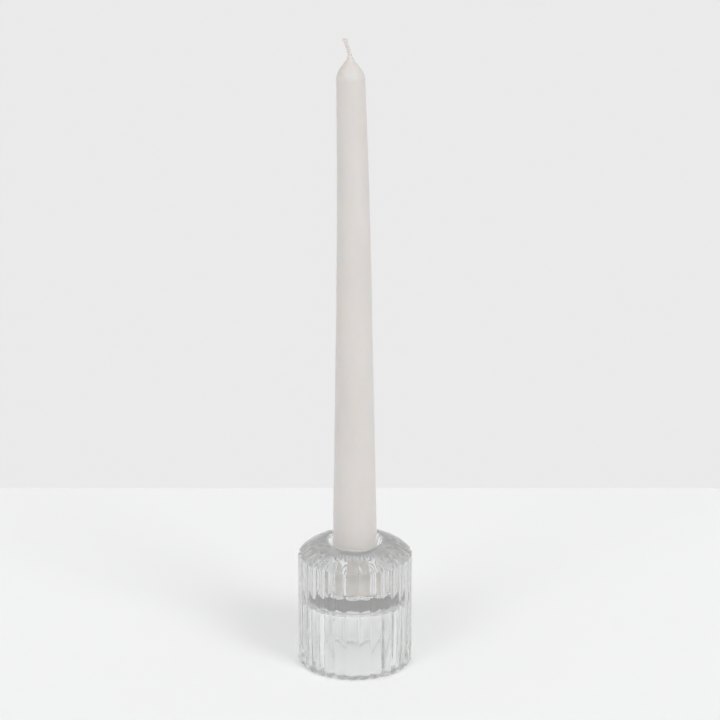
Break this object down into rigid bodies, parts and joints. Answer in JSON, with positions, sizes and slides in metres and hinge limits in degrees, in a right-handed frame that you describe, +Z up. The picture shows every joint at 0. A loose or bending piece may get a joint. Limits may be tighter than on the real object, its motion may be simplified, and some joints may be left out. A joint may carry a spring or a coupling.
{
  "type": "glass candlestick",
  "caption": "Clear reeded glass candlestick with a domed shoulder, holding a tapered candle; a recess underneath takes a tealight when it is turned over.",
  "frame": {"origin": "centre of the glass foot, on the surface the candlestick stands on", "axes": "+Z up along the holder's axis; +X through the crest of one reed, and the candle bows and its wick leans towards -X"},
  "size_m": [0.056, 0.0556, 0.3127],
  "materials": {
    "clear_glass": "clear pressed glass, fire-polished, smooth",
    "candle_wax": "ivory wax, satin, slightly translucent",
    "wick_cotton": "braided cotton, waxed"
  },
  "bodies": {
    "holder": {"glass_body": "clear_glass"},
    "candle": {"taper_candle": "candle_wax", "wick": "wick_cotton"}
  },
  "joints": [
    {"name": "candle_lift", "type": "slide", "parent": "holder", "child": "candle", "axis": [0, 0, 1], "range_m": [0, 0.03]}
  ]
}
